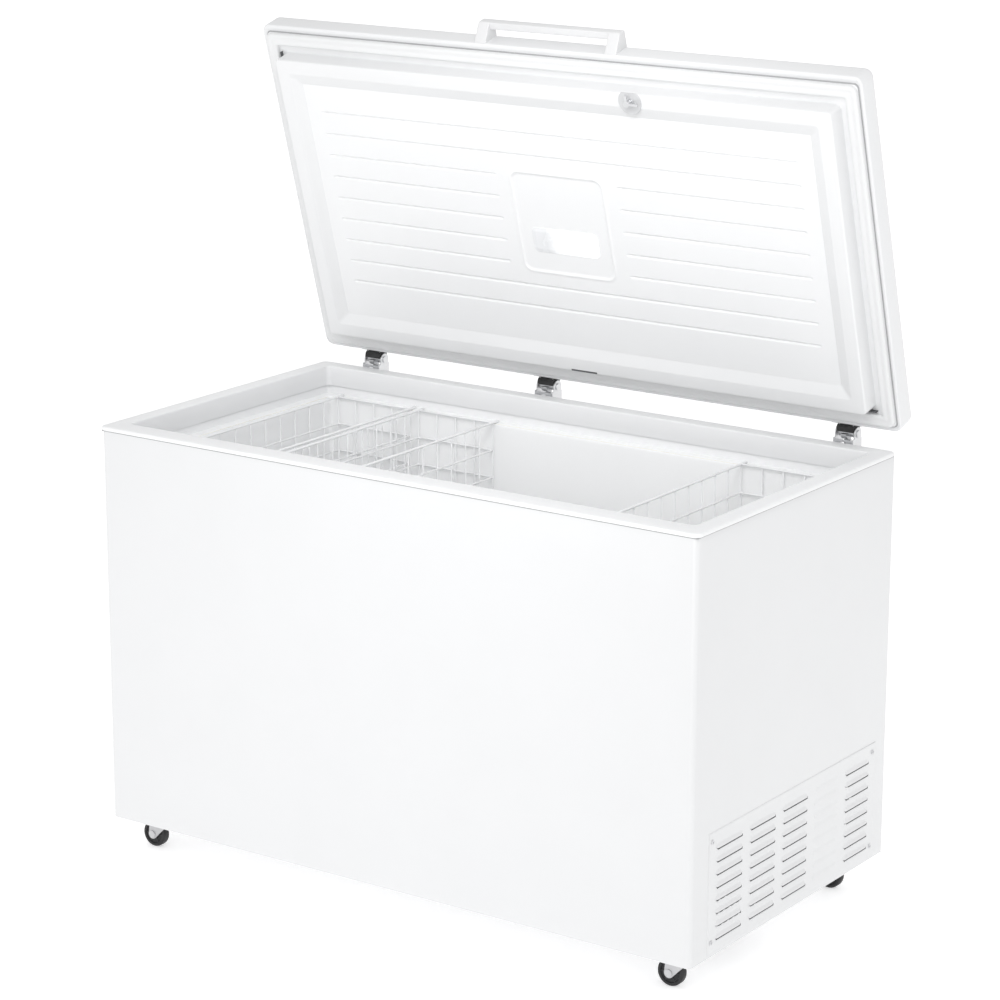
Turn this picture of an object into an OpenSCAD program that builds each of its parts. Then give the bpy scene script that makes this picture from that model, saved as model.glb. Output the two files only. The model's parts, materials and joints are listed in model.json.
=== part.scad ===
// Chest freezer with its lid standing open on three spring hinges.
// Z = 0 is the floor under the castors, the front faces -Y, and the lid is drawn
// in its closed place and then turned open about the hinge pins.

/* [Cabinet] */
// Width of the steel cabinet
body_w = 1255; // [1200:5:1400]
// Depth of the steel cabinet
body_d = 657; // [640:1:700]
// Height of the steel cabinet
body_h = 738; // [720:1:780]
// Height of the cabinet's underside above the floor
foot_h = 66; // [64:1:72]
// Thickness of the painted sheet steel
sheet = 0.8; // [0.6:0.1:1.0]
// Radius of the cabinet's front corners
corner_r = 10; // [8:1:14]

/* [Opening] */
// Width of the collar's ledge at the sides and the back
ledge_side = 31; // [30:1:36]
// Width of the collar's ledge at the front
ledge_front = 42; // [40:1:46]
// Height of the collar above the cabinet
rim_h = 8; // [6:1:10]
// Depth of the collar's skirt inside the opening
skirt_h = 30; // [24:1:34]
// Depth of the shelf that carries the baskets, below the cabinet's top
shelf_drop = 47; // [44:1:52]
// Thickness of the foam between the cabinet's side and the liner
side_foam = 47; // [44:1:60]
// Thickness of the foam under the liner
floor_foam = 58; // [50:1:70]

/* [Lid] */
// Gap between the cabinet's top edge and the lid's underside, shut
lid_lift = 16; // [14:1:18]
// Thickness of the lid's outer tray
lid_h = 48; // [44:1:56]
// Reach of the lid past the cabinet on every side
lid_over = 6; // [4:1:8]
// Depth of the raised ring that plugs the opening
ring_h = 36; // [30:1:40]
// Angle at which the lid stands open
open_angle = 73.7; // [60:0.1:78]
// Number of grooves across the lid's lining
grooves = 9; // [7:1:9]
// Distance between grooves
groove_pitch = 43.4; // [40:0.1:44]

/* [Hinges] */
// Distance of the hinge pins behind the cabinet
pin_back = 25; // [25:1:28]
// Height of the hinge pins above the cabinet's top edge
pin_up = 22; // [22:1:24]
// Radius of the hinge pins
pin_r = 4; // [3.5:0.5:4]
// Width of the hinge bracket's channel
channel_w = 40; // [40:1:44]
// Fall of the spring plunger in one degree of the lid's turn
cam_rise = 0.0873; // [0.05:0.0001:0.09]

/* [Baskets] */
// Width of a basket
basket_w = 177; // [170:1:180]
// Depth of a basket below its top wire
basket_h = 215; // [180:5:230]
// Thickness of the basket wires
wire = 4; // [3:0.5:4]

/* [Castors] */
// Radius of a castor wheel
wheel_r = 25; // [24:0.5:25]
// Width of a castor wheel
wheel_w = 16; // [14:1:18]

/* [Compressor bay] */
// Width of the compressor bay at the right-hand end
bay_w = 240; // [230:5:260]
// Height of the compressor bay
bay_h = 222; // [215:1:230]
// Louvres along the grille
louvre_columns = 5; // [4:1:5]
// Louvres up the grille
louvre_rows = 8; // [6:1:8]

/* [Hidden] */
$fn = 96;

white = "#f4f5f6";
zinc = "#b9bcc0";
black = "#1b1c1e";
copper = "#b8734a";
foam_yellow = "#e8dca0";

// Cabinet levels and faces
swing_back = 63;                          // how far the open lid reaches behind the cabinet
half_w = body_w / 2;
front_y = -(body_d + swing_back) / 2;
back_y = front_y + body_d;
base_z = foot_h;
top_z = base_z + body_h;
rim_z = top_z + rim_h;
coil_gap = 6;                             // room for the condenser pipe behind the front sheet
pan_z = base_z + sheet;                   // underside of the base pan, on the shell's return
pan_top = pan_z + 1;
inner_r = corner_r - sheet;

// Opening and liner
open_x = half_w - ledge_side;
open_front = front_y + ledge_front;
open_back = back_y - ledge_side;
skirt_t = 3;
skirt_z = top_z - skirt_h;
shelf_z = top_z - shelf_drop;
slot_gap = 4;                             // from the opening's edge to the basket slot's back wall
liner_t = 1;
liner_x = half_w - side_foam - liner_t;
liner_front = front_y + side_foam + 9;
liner_back = back_y - side_foam - liner_t;
liner_z = base_z + floor_foam + 2;        // top of the liner's floor
liner_r = 5;
slot_x = open_x + slot_gap;
slot_front = open_front - slot_gap;
slot_back = open_back + slot_gap;
slot_r = 5;
bay_x = half_w - bay_w;
bay_z = base_z + bay_h;
step_x = bay_x - side_foam;
step_z = bay_z + side_foam;

// Lid
pin_y = back_y + pin_back;
pin_z = top_z + pin_up;
lid_z = top_z + lid_lift;
lid_top = lid_z + lid_h;
lid_x = half_w + lid_over;
lid_front = front_y - lid_over;
lid_back = back_y + lid_over;
lid_r = 16;
lip = 9;                                  // width of the tray's turned-in lip at the sides
lip_front = 14;
lining_t = 1.5;
ring_z = lid_z - ring_h;
ring_x = half_w - 40;
ring_front = front_y + 47;
ring_back = back_y - 40;
ring_r = 8;
recess_r = 6;
ring_w = 40;                              // from the ring's outer wall to the recess
recess_z = ring_z + 9;
recess_x = ring_x - ring_w;
recess_front = ring_front + ring_w - 4;
recess_back = ring_back - ring_w;
groove_x = half_w - 117.6;
groove_first = front_y + 149.6;
groove_gap = 128.5;
pad_w = 205;
pad_y = front_y + 324;
lens_w = 141;
lens_d = 49;
lens_y = front_y + 358;
lock_x = 192;
lock_y = front_y + 62;
lock_r = 12;
lock_cam_z = skirt_z - 0.5;                // top of the cam with the lid shut, under the skirt

// Hinges
hinge_x = [-521, -117, 521];
running_gap = 0.06;
cam_r = 10;
plunger_gap = 0.6;
roller_r = 3;
spring_foot = -98;
spring_top = -27;
spring_r = 8;
spring_wire = 1.3;
bracket_screw_at = [[-27, -45], [27, -45], [-27, -130], [27, -130]];
leaf_screw_at = [[-24, 6], [24, 6], [-24, 28], [24, 28]];

// Baskets: the left edge of each one, and where the ends lie
basket_left_x = [-half_w + 70, -half_w + 263, half_w - 279];
basket_front = open_front + 6;
basket_back = open_back - 3;
basket_rim = shelf_z + wire + 0.3;

// Castors
castor_x = half_w - 61.5;                  // swivel axis
castor_front = front_y + 65;
castor_back = back_y - 52;
castor_trail = 12;                        // from the swivel axis to the wheel's axle
axle_r = 4;
fork_gap = 1.5;
fork_t = 2.5;
crown_z = 54;                             // underside of the fork's crown, over the wheel
race_z = 57;                              // underside of the swivel race
king_r = 5;
castor_plate = [74, 42];
castor_hole = [29, 15];

// Compressor bay
pot_x = half_w - 122;
pot_y = 110;
pot_r = 76;
pot_z = pan_top + 17;
pot_foot = [78, 70];
grille_y0 = front_y + 53;
grille_y1 = front_y + 621;
grille_z0 = base_z + 5;
grille_z1 = base_z + 222;
grille_t = 1.6;
louvre_l = 84;
louvre_first = front_y + 118;
louvre_pitch = 109;
louvre_low = base_z + 31;
louvre_step = 22.9;
grille_screw_at = [[front_y + 62, 206], [front_y + 608, 206], [front_y + 62, 28], [front_y + 608, 28]];
knob_x = half_w - 190;
knob_z = base_z + 165;
gland_x = half_w - 70;
gland_z = base_z + 60;
drain_x = -half_w + 140;
drain_y = front_y + 150;

// ---- shapes used by several parts ----

// Rectangle with round corners.
module rounded(x0, x1, y0, y1, r) {
    translate([x0 + r, y0]) square([x1 - x0 - 2 * r, y1 - y0]);
    translate([x0, y0 + r]) square([x1 - x0, y1 - y0 - 2 * r]);
    for (x = [x0 + r, x1 - r], y = [y0 + r, y1 - r]) translate([x, y]) circle(r);
}

// Upright block with round corners.
module slab(x0, x1, y0, y1, z0, z1, r) {
    translate([0, 0, z0]) linear_extrude(z1 - z0) rounded(x0, x1, y0, y1, r);
}

// Block between two corners.
module block(x0, x1, y0, y1, z0, z1) {
    translate([x0, y0, z0]) cube([x1 - x0, y1 - y0, z1 - z0]);
}

// Block with only its front corners round.
module front_rounded(half, y0, y1, z0, z1, r) {
    slab(-half, half, y0, y0 + 4 * r, z0, z1, r);
    block(-half, half, y0 + 2 * r, y1, z0, z1);
}

// Upright frame: an outer block less an inner one, both mirror-symmetric in X.
module frame(x, y0, y1, r, inner_x, inner_y0, inner_y1, ir, z0, z1) {
    difference() {
        slab(-x, x, y0, y1, z0, z1, r);
        slab(-inner_x, inner_x, inner_y0, inner_y1, z0 - 1, z1 + 1, ir);
    }
}

// Pin, screw or hole along +X, +Y or +Z from its start point.
module along_x(h, r) { rotate([0, 90, 0]) cylinder(h = h, r = r); }
module along_y(h, r) { rotate([-90, 0, 0]) cylinder(h = h, r = r); }

// Quarter-turn or half-turn of pipe in the XY plane about the origin.
module bend(turn, bend_r, pipe_r) {
    rotate_extrude(angle = turn) translate([bend_r, 0]) circle(pipe_r, $fn = 32);
}

// Turns what is drawn in the lid's shut place to where the lid stands open.
module lid_open() {
    translate([0, pin_y, pin_z]) rotate([-open_angle, 0, 0]) translate([0, -pin_y, -pin_z]) children();
}

// Repeats its children at each hinge, measured from the hinge pin's centre.
module at_hinges() {
    for (x = hinge_x) translate([x, pin_y, pin_z]) children();
}

// ---- cabinet ----

module grille_window() {
    block(half_w - 20, half_w + 20, grille_y0 + 16, grille_y1 - 16, grille_z0 + 12, grille_z1 - 12);
}

module outer_shell() {
    edge = 12;
    wall_back = back_y - sheet;
    color(white) difference() {
        front_rounded(half_w, front_y, wall_back, base_z, top_z, corner_r);
        front_rounded(half_w - sheet, front_y + sheet, back_y, pan_z, top_z - sheet, inner_r);
        block(-half_w + edge, half_w - edge, front_y + edge, back_y, base_z - 1, top_z + 1);
        grille_window();
        for (p = grille_screw_at) translate([half_w - 5, p[0], base_z + p[1]]) along_x(10, 2);
    }
}

module back_panel() {
    color(white) difference() {
        block(-half_w, half_w, back_y - sheet, back_y, base_z, top_z);
        bracket_screw_shanks();
        translate([knob_x, back_y - 5, knob_z]) along_y(10, 5);
        translate([gland_x, back_y - 5, gland_z]) along_y(10, 9);
        for (i = [0 : 5]) {
            block(pot_x - 60, pot_x + 60, back_y - 5, back_y + 5, base_z + 34 + 18 * i, base_z + 38 + 18 * i);
        }
    }
}

module castor_screw_at() {
    for (x = [-castor_x, castor_x], y = [castor_front, castor_back]) {
        for (i = [-1, 1], j = [-1, 1]) {
            translate([x + i * castor_hole[0], y + j * castor_hole[1], 0]) children();
        }
    }
}

module base_pan() {
    color(zinc) difference() {
        front_rounded(half_w - sheet, front_y + sheet, back_y - sheet, pan_z, pan_top, inner_r);
        castor_screw_at() translate([0, 0, base_z]) cylinder(h = 5, r = 3);
        translate([drain_x, drain_y, base_z - 1]) cylinder(h = 5, r = 9);
        for (i = [0 : 7]) {
            block(bay_x + 30, half_w - 40, -180 + 18 * i, -172 + 18 * i, base_z, base_z + 5);
        }
    }
}

// Sheet that walls the compressor bay off from the foam.
module bay_divider() {
    color(zinc) union() {
        block(bay_x, bay_x + 1, front_y + sheet + coil_gap, back_y - sheet, pan_top, bay_z);
        block(bay_x, half_w - sheet, front_y + sheet + inner_r + 0.2, back_y - sheet, bay_z, bay_z + 1);
    }
}

// Outside of the liner's tub, grown by a gap; the foam and the liner both use it.
module tub(grow, low) {
    slab(-liner_x - grow, step_x + grow, liner_front - grow, liner_back + grow,
        liner_z - low, shelf_z, liner_r + grow);
    slab(-liner_x - grow, liner_x + grow, liner_front - grow, liner_back + grow,
        step_z - low, shelf_z, liner_r + grow);
}

// Outside of the strip that stands on the liner's shelf.
module slot(z0, z1) {
    grow = liner_t;
    slab(-slot_x - grow, slot_x + grow, slot_front - grow, slot_back + grow, z0, z1, slot_r + grow);
}

module inner_liner() {
    color(white) difference() {
        union() {
            tub(liner_t, liner_t);
            slot(shelf_z - liner_t, shelf_z);
        }
        tub(0, 0);
        translate([0, 0, shelf_z - 2 * liner_t])
            linear_extrude(3 * liner_t) rounded(-liner_x, liner_x, liner_front, liner_back, liner_r);
        translate([drain_x, drain_y, liner_z - 5]) cylinder(h = 10, r = 7);
    }
}

// Plastic strip that stands on the liner's shelf and meets the collar.
module inner_rim() {
    color(white) difference() {
        slot(shelf_z, top_z - 2);
        slab(-slot_x, slot_x, slot_front, slot_back, shelf_z - 1, top_z, slot_r);
    }
}

module body_foam() {
    pipe_gap = 7.5;
    coil_low = step_z + 8;
    coil_high = shelf_z - 20;
    color(foam_yellow) difference() {
        block(-half_w + sheet, half_w - sheet, front_y + sheet + inner_r, back_y - sheet,
            pan_top, top_z - sheet);
        block(bay_x, half_w, front_y, back_y, pan_top - 1, bay_z + 1);
        tub(liner_t, liner_t);
        slab(-liner_x - liner_t - pipe_gap, liner_x + liner_t + pipe_gap, liner_front - liner_t - pipe_gap,
            liner_back + liner_t + pipe_gap, coil_low, coil_high, liner_r + liner_t + pipe_gap);
        slot(shelf_z - liner_t, top_z);
        bracket_screw_shanks();
        castor_screw_at() translate([0, 0, base_z]) cylinder(h = 16, r = 6);
        translate([drain_x, drain_y, base_z]) cylinder(h = 90, r = 9);
    }
}

module top_collar() {
    bead = 3;
    color(white) difference() {
        union() {
            slab(-half_w - bead, half_w + bead, front_y - bead, back_y + bead, top_z, rim_z, corner_r + bead);
            slab(-open_x - skirt_t, open_x + skirt_t, open_front - skirt_t, open_back + skirt_t,
                skirt_z, rim_z, 10 + skirt_t);
        }
        slab(-open_x, open_x, open_front, open_back, skirt_z - 1, rim_z + 1, 10);
    }
}

module drain_pipe() {
    color(white) difference() {
        translate([drain_x, drain_y, base_z - 12]) cylinder(h = liner_z - liner_t - base_z + 12, r = 9);
        translate([drain_x, drain_y, base_z - 13]) cylinder(h = liner_z - base_z + 20, r = 7);
    }
}

module drain_plug() {
    color(black) union() {
        translate([drain_x, drain_y, liner_z - 14]) cylinder(h = 14, r = 7 - running_gap);
        translate([drain_x, drain_y, liner_z]) cylinder(h = 4, r = 14);
        translate([drain_x - 8, drain_y - 2, liner_z + 4]) cube([16, 4, 8]);
    }
}

// ---- side grille ----

module louvre_grid() {
    for (i = [0 : louvre_columns - 1], j = [0 : louvre_rows - 1]) {
        translate([half_w, louvre_first + louvre_pitch * i, louvre_low + louvre_step * j]) children();
    }
}

module side_grille() {
    slit = 4.5;
    hood = 3.2;
    color(white) difference() {
        union() {
            block(half_w, half_w + grille_t, grille_y0, grille_y1, grille_z0, grille_z1);
            louvre_grid() rotate([90, 0, 0]) translate([0, 0, -louvre_l / 2]) linear_extrude(louvre_l)
                polygon([[grille_t, 9], [grille_t + hood, 1], [grille_t + hood, 0], [grille_t, 0]]);
        }
        louvre_grid() block(-1, grille_t + 1, -louvre_l / 2, louvre_l / 2, -slit, 0);
        for (p = grille_screw_at) translate([half_w - 1, p[0], base_z + p[1]]) along_x(10, 2);
    }
}

module grille_screws() {
    color(zinc) for (p = grille_screw_at) translate([half_w + grille_t, p[0], base_z + p[1]]) {
        rotate([0, -90, 0]) cylinder(h = 10, r = 2);
        difference() {
            along_x(1.8, 4);
            block(1, 3, -3, 3, -0.5, 0.5);
            block(1, 3, -0.5, 0.5, -3, 3);
        }
    }
}

// ---- compressor bay ----

module foot_places() {
    for (i = [-1, 1], j = [-1, 1])
        translate([pot_x + i * pot_foot[0], pot_y + j * pot_foot[1], 0]) children();
}

// The pot: two pressed steel halves with a seam, on a foot plate.
module compressor() {
    low = 12;
    waist = 60;
    high = 150;
    dome = [for (a = [0 : 10 : 80]) [pot_r * cos(a), high - 46 + 46 * sin(a)]];
    bowl = [for (a = [-80 : 10 : 0]) [pot_r * cos(a), low + 30 + 30 * sin(a)]];
    color(black) difference() {
        union() {
            translate([pot_x, pot_y, pot_z]) rotate_extrude()
                polygon(concat([[0, low]], bowl, dome, [[0, high]]));
            translate([pot_x, pot_y, pot_z + waist]) cylinder(h = 4, r = pot_r + 4);
            translate([0, 0, pot_z]) linear_extrude(3)
                rounded(pot_x - pot_foot[0] - 14, pot_x + pot_foot[0] + 14,
                    pot_y - pot_foot[1] - 14, pot_y + pot_foot[1] + 14, 14);
            translate([pot_x, pot_y, pot_z + 2]) cylinder(h = 20, r = 40);
        }
        foot_places() translate([0, 0, pot_z - 1]) cylinder(h = 5, r = 4);
    }
}

module compressor_feet() {
    color(black) foot_places() translate([0, 0, pan_top]) difference() {
        cylinder(h = pot_z - pan_top, r = 12);
        translate([0, 0, -1]) cylinder(h = 30, r = 4);
    }
}

module compressor_bolts() {
    color(zinc) foot_places() union() {
        translate([0, 0, pan_top]) cylinder(h = pot_z + 3 - pan_top, r = 4);
        translate([0, 0, pot_z + 3]) cylinder(h = 6, r = 8, $fn = 6);
    }
}

// Cover over the starting relay, on the side of the pot.
module terminal_cover() {
    color(black) difference() {
        block(pot_x - 28, pot_x + 28, pot_y - pot_r - 34, pot_y - 40, pot_z + 66, pot_z + 118);
        translate([pot_x, pot_y, pot_z]) cylinder(h = 200, r = pot_r + 0.5);
    }
}

// Pipe run from the pot to the bay's wall, at a height and a side of the pot.
module pipe_to_wall(y, z, r) {
    translate([bay_x + 1, y, z]) along_x(pot_x - bay_x - 1 - 50, r);
}

module refrigerant_pipes() {
    color(copper) {
        difference() {
            union() {
                pipe_to_wall(pot_y + 22, pot_z + 96, 4);
                pipe_to_wall(pot_y - 22, pot_z + 82, 3);
                translate([pot_x + 42, pot_y - 104, pot_z + 92]) along_y(60, 3);
            }
            translate([pot_x, pot_y, pot_z + 66]) cylinder(h = 50, r = pot_r);
        }
        translate([bay_x + 14, -60, base_z + 196]) along_y(60, 3);
        translate([bay_x + 14, -60, base_z + 60]) cylinder(h = 12, r = 3);
    }
}

// Filter on the liquid line, clipped upright beside the bay's wall.
module filter_drier() {
    profile = [[0, 0], [3, 0], [3, 6], [9, 16], [9, 104], [3, 114], [3, 121], [0, 121]];
    color(copper) translate([bay_x + 14, -60, base_z + 72]) rotate_extrude() polygon(profile);
}

module thermostat_body() {
    color(white) union() {
        block(knob_x - 24, knob_x + 24, back_y - sheet - 34, back_y - sheet, knob_z - 18, knob_z + 18);
        translate([knob_x, back_y - sheet, knob_z]) along_y(sheet + 9, 3);
    }
}

module thermostat_knob() {
    color(black) difference() {
        union() {
            translate([knob_x, back_y + 0.5, knob_z]) along_y(12, 17);
            block(knob_x - 2, knob_x + 2, back_y + 12, back_y + 15, knob_z - 15, knob_z + 15);
        }
        translate([knob_x, back_y - 1, knob_z]) along_y(10, 3 + running_gap);
    }
}

// Grommet that the mains lead would leave through.
module cord_gland() {
    color(black) difference() {
        union() {
            translate([gland_x, back_y - sheet - 4, gland_z]) along_y(16, 9);
            translate([gland_x, back_y, gland_z]) along_y(3, 13);
        }
        translate([gland_x, back_y - 10, gland_z]) along_y(30, 4);
    }
}

// ---- refrigerant coils in the foam ----

// Serpentine of steel pipe behind the front panel.
module condenser_coil() {
    pipe_r = 2.4;
    runs = 8;
    pitch = 76;
    reach = half_w - 90;
    y = front_y + sheet + pipe_r + 0.2;
    z0 = top_z - 60 - (runs - 1) * pitch;
    color(copper) union() {
        for (i = [0 : runs - 1]) translate([-reach, y, z0 + i * pitch]) along_x(2 * reach, pipe_r);
        for (i = [0 : runs - 2]) {
            side = i % 2 == 0 ? 1 : -1;
            translate([side * reach, y, z0 + (i + 0.5) * pitch]) rotate([90, 0, 0])
                rotate([0, 0, side > 0 ? -90 : 90]) bend(180, pitch / 2, pipe_r);
        }
    }
}

// One level of the evaporator: a rounded rectangle of pipe round the liner.
module coil_level(z, pipe_r) {
    grow = liner_t + pipe_r + 0.3;
    r = liner_r + grow;
    x = liner_x + grow;
    y0 = liner_front - grow;
    y1 = liner_back + grow;
    translate([-x + r, y0, z]) along_x(2 * (x - r), pipe_r);
    translate([-x + r, y1, z]) along_x(2 * (x - r), pipe_r);
    for (s = [-x, x]) translate([s, y0 + r, z]) along_y(y1 - y0 - 2 * r, pipe_r);
    translate([x - r, y1 - r, z]) bend(90, r, pipe_r);
    translate([-x + r, y1 - r, z]) rotate([0, 0, 90]) bend(90, r, pipe_r);
    translate([-x + r, y0 + r, z]) rotate([0, 0, 180]) bend(90, r, pipe_r);
    translate([x - r, y0 + r, z]) rotate([0, 0, 270]) bend(90, r, pipe_r);
}

module evaporator_coil() {
    pipe_r = 3;
    levels = 5;
    pitch = 72;
    z0 = step_z + 40;
    color(zinc) union() {
        for (i = [0 : levels - 1]) coil_level(z0 + i * pitch, pipe_r);
        translate([0, liner_back + liner_t + pipe_r + 0.3, z0])
            cylinder(h = (levels - 1) * pitch, r = pipe_r);
    }
}

// ---- hinges ----

module bracket_screw_shanks() {
    at_hinges() for (p = bracket_screw_at) translate([p[0], -pin_back - 12, p[1]]) along_y(14, 2.5);
}

module bracket_screws() {
    color(zinc) {
        bracket_screw_shanks();
        at_hinges() for (p = bracket_screw_at) translate([p[0], -pin_back + 2, p[1]]) along_y(3, 5);
    }
}

// Bracket on the cabinet's back: a flanged channel that holds the spring and the pin.
module hinge_bracket(x) {
    ear = 2;
    ear_r = 12;
    ear_front = -18;
    ear_back = 14;
    foot = -150;
    color(zinc) translate([x, pin_y, pin_z]) difference() {
        union() {
            block(-34, 34, -pin_back, -pin_back + 2, foot, -pin_up - 4);
            for (s = [-1, 1]) {
                inner = s * (channel_w / 2 - ear);
                outer = s * channel_w / 2;
                block(min(inner, outer), max(inner, outer), -pin_back + 2, ear_back, foot, -pin_up - 4);
                block(min(inner, outer), max(inner, outer), ear_front, ear_back, -pin_up - 4, -8);
                block(min(inner, outer), max(inner, outer), -ear_r, ear_r, -8, 0);
                translate([min(inner, outer), 0, 0]) along_x(ear, ear_r);
            }
            block(-channel_w / 2, channel_w / 2, ear_front, ear_front + ear, -pin_up - 4, -10);
            block(-channel_w / 2, channel_w / 2, -pin_back, ear_back, spring_foot - 2, spring_foot);
        }
        block(-6, 6, -30, 0, -18, -14);
        translate([-channel_w, 0, 0]) along_x(2 * channel_w, pin_r);
        translate([0, 0, spring_foot - 3]) cylinder(h = 4, r = 4.5);
        for (p = bracket_screw_at) translate([p[0], -pin_back - 12, p[1]]) along_y(30, 2.5);
    }
}

module hinge_pins() {
    color(zinc) at_hinges() union() {
        translate([-channel_w / 2 - 1.5, 0, 0]) along_x(channel_w + 3, pin_r);
        translate([channel_w / 2, 0, 0]) along_x(2.5, pin_r + 3);
        translate([-channel_w / 2 - 2.5, 0, 0]) along_x(2.5, pin_r + 2);
    }
}

// Plunger with a roller under the cam; its stem guides the spring.
module hinge_plungers() {
    roller_z = -cam_r - plunger_gap - roller_r;
    color(zinc) at_hinges() union() {
        translate([-6, 0, roller_z]) along_x(12, roller_r);
        block(-6, 6, -roller_r, roller_r, spring_top + 2, roller_z);
        translate([0, 0, spring_top]) cylinder(h = 3, r = 10.5);
        translate([0, 0, spring_foot - 18]) cylinder(h = spring_top - spring_foot + 18, r = 4);
    }
}

// Ring of points round a helix at one angle.
function helix_ring(angle, r, wire_r, rise, sides) = [
    for (k = [0 : sides - 1])
        let (u = r + wire_r * cos(360 * k / sides))
        [u * cos(angle), u * sin(angle), rise * angle / 360 + wire_r * sin(360 * k / sides)]
];

// Coil spring standing on z = 0.
module coil_spring(r, wire_r, turns, h) {
    sides = 6;
    steps = turns * 12;
    rise = (h - 2 * wire_r) / turns;
    points = [for (i = [0 : steps]) each helix_ring(360 * turns * i / steps, r, wire_r, rise, sides)];
    sidewalls = [
        for (i = [0 : steps - 1], k = [0 : sides - 1])
            let (a = i * sides + k, b = i * sides + (k + 1) % sides)
            [a, b, b + sides, a + sides]
    ];
    caps = [[for (k = [sides - 1 : -1 : 0]) k], [for (k = [0 : sides - 1]) steps * sides + k]];
    translate([0, 0, wire_r]) polyhedron(points, concat(sidewalls, caps), convexity = 10);
}

module hinge_springs() {
    color(zinc) at_hinges() translate([0, 0, spring_foot])
        coil_spring(spring_r, spring_wire, 6, spring_top - spring_foot);
}

// Leaf on the lid's back, with two ears, a barrel and the cam that presses the plunger.
module hinge_leaf(x) {
    ear = 2;
    ear_out = 15;
    ear_r = 8;
    face = lid_over - pin_back;
    cam = [for (a = [-15 : 5 : 90]) let (r = cam_r + cam_rise * a) [r * cos(-90 - a), r * sin(-90 - a)]];
    lid_open() color(zinc) translate([x, pin_y, pin_z]) difference() {
        union() {
            block(-30, 30, face, face + ear, -2, 36);
            for (s = [-ear_out, ear_out - ear]) {
                block(s, s + ear, face + ear, 0, -4, ear_r);
                translate([s, 0, 0]) along_x(ear, ear_r);
            }
            translate([-ear_out, 0, 0]) along_x(2 * ear_out, 7);
            rotate([open_angle, 0, 0]) rotate([90, 0, 90]) translate([0, 0, -6]) linear_extrude(12)
                polygon(concat([[0, 0]], cam));
        }
        translate([-channel_w, 0, 0]) along_x(2 * channel_w, pin_r + running_gap);
        for (p = leaf_screw_at) translate([p[0], face - 1, p[1]]) along_y(5, 2);
    }
}

module leaf_screw_shanks() {
    at_hinges() for (p = leaf_screw_at) translate([p[0], lid_over - pin_back - 12, p[1]]) along_y(14, 2);
}

module leaf_screws() {
    lid_open() color(zinc) {
        leaf_screw_shanks();
        at_hinges() for (p = leaf_screw_at) translate([p[0], lid_over - pin_back + 2, p[1]]) along_y(2.5, 4);
    }
}

// Moulded caps over the leaves' ears, slotted for them and hollow round the barrel.
module hinge_covers() {
    half = 17;
    slack = 0.3;
    ear = 2;
    ear_out = 15;
    plate = lid_over - pin_back + ear + slack;
    side = [[-12.5, 3], [-12.5, 11.5], [-9, 15], [5, 18.5], [11, 13], [12, 4]];
    color(black) at_hinges() difference() {
        translate([-half, 0, 0]) rotate([90, 0, 90]) linear_extrude(2 * half) polygon(side);
        translate([-half - 1, 0, 0]) along_x(2 * half + 2, 7 + slack);
        rotate([-open_angle, 0, 0]) {
            for (s = [-ear_out, ear_out - ear]) {
                block(s - slack, s + ear + slack, -30, 0, -4 - slack, 8 + slack);
                translate([s - slack, 0, 0]) along_x(ear + 2 * slack, 8 + slack);
            }
            block(-half - 1, half + 1, plate - 30, plate, -20, 50);
        }
    }
}

// ---- castors ----

// Repeats its children at each castor's swivel axis.
module castor_places() {
    for (x = [-castor_x, castor_x], y = [castor_front, castor_back]) translate([x, y, 0]) children();
}

// Screwed plates with the races in which the forks' kingpins turn.
module castor_plates() {
    color(zinc) castor_places() difference() {
        union() {
            block(-castor_plate[0] / 2, castor_plate[0] / 2, -castor_plate[1] / 2, castor_plate[1] / 2,
                foot_h - fork_t, pan_z);
            translate([0, 0, race_z]) cylinder(h = foot_h - fork_t - race_z, r1 = 14, r2 = 17);
        }
        translate([0, 0, race_z - 1]) cylinder(h = 9, r = king_r + running_gap);
        for (i = [-1, 1], j = [-1, 1]) {
            translate([i * castor_hole[0], j * castor_hole[1], foot_h - 10]) cylinder(h = 20, r = 3);
        }
    }
}

// Trailing fork with its kingpin and its riveted axle.
module castor_fork(x, y) {
    leg_y = wheel_w / 2 + fork_gap;
    boss_r = 9;
    crown_top = crown_z + fork_t;
    leg = [[-9, wheel_r], [-5, crown_top], [29, crown_top], [29, 42], [6.5, wheel_r - 6.2]];
    color(zinc) translate([x, y, 0]) union() {
        translate([0, 0, crown_z]) cylinder(h = race_z + 7 - crown_z, r = king_r);
        translate([-castor_trail, 0, 0]) {
            block(-5, 29, -leg_y - fork_t, leg_y + fork_t, crown_z, crown_top);
            for (s = [-leg_y, leg_y + fork_t])
                translate([0, s, 0]) rotate([90, 0, 0]) linear_extrude(fork_t) {
                    polygon(leg);
                    translate([0, wheel_r]) circle(boss_r);
                }
            translate([0, -leg_y - fork_t - 2, wheel_r]) along_y(3, 7);
            translate([0, -leg_y - fork_t, wheel_r]) along_y(2 * (leg_y + fork_t), axle_r);
            translate([0, leg_y + fork_t - 1, wheel_r]) along_y(4, 6);
        }
    }
}

module castor_wheel(x, y) {
    tread = wheel_w / 2;
    edge = 2;
    hub_r = 9;
    profile = [
        [axle_r + running_gap, -tread - 1], [hub_r, -tread - 1], [hub_r, -tread + 2],
        [wheel_r - 6, -tread + 2], [wheel_r - 5, -tread], [wheel_r - edge, -tread],
        [wheel_r, -tread + edge], [wheel_r, tread - edge],
        [wheel_r - edge, tread], [wheel_r - 5, tread], [wheel_r - 6, tread - 2],
        [hub_r, tread - 2], [hub_r, tread + 1], [axle_r + running_gap, tread + 1]
    ];
    color(black) translate([x - castor_trail, y, wheel_r]) rotate([90, 0, 0])
        rotate_extrude() polygon(profile);
}

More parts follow.
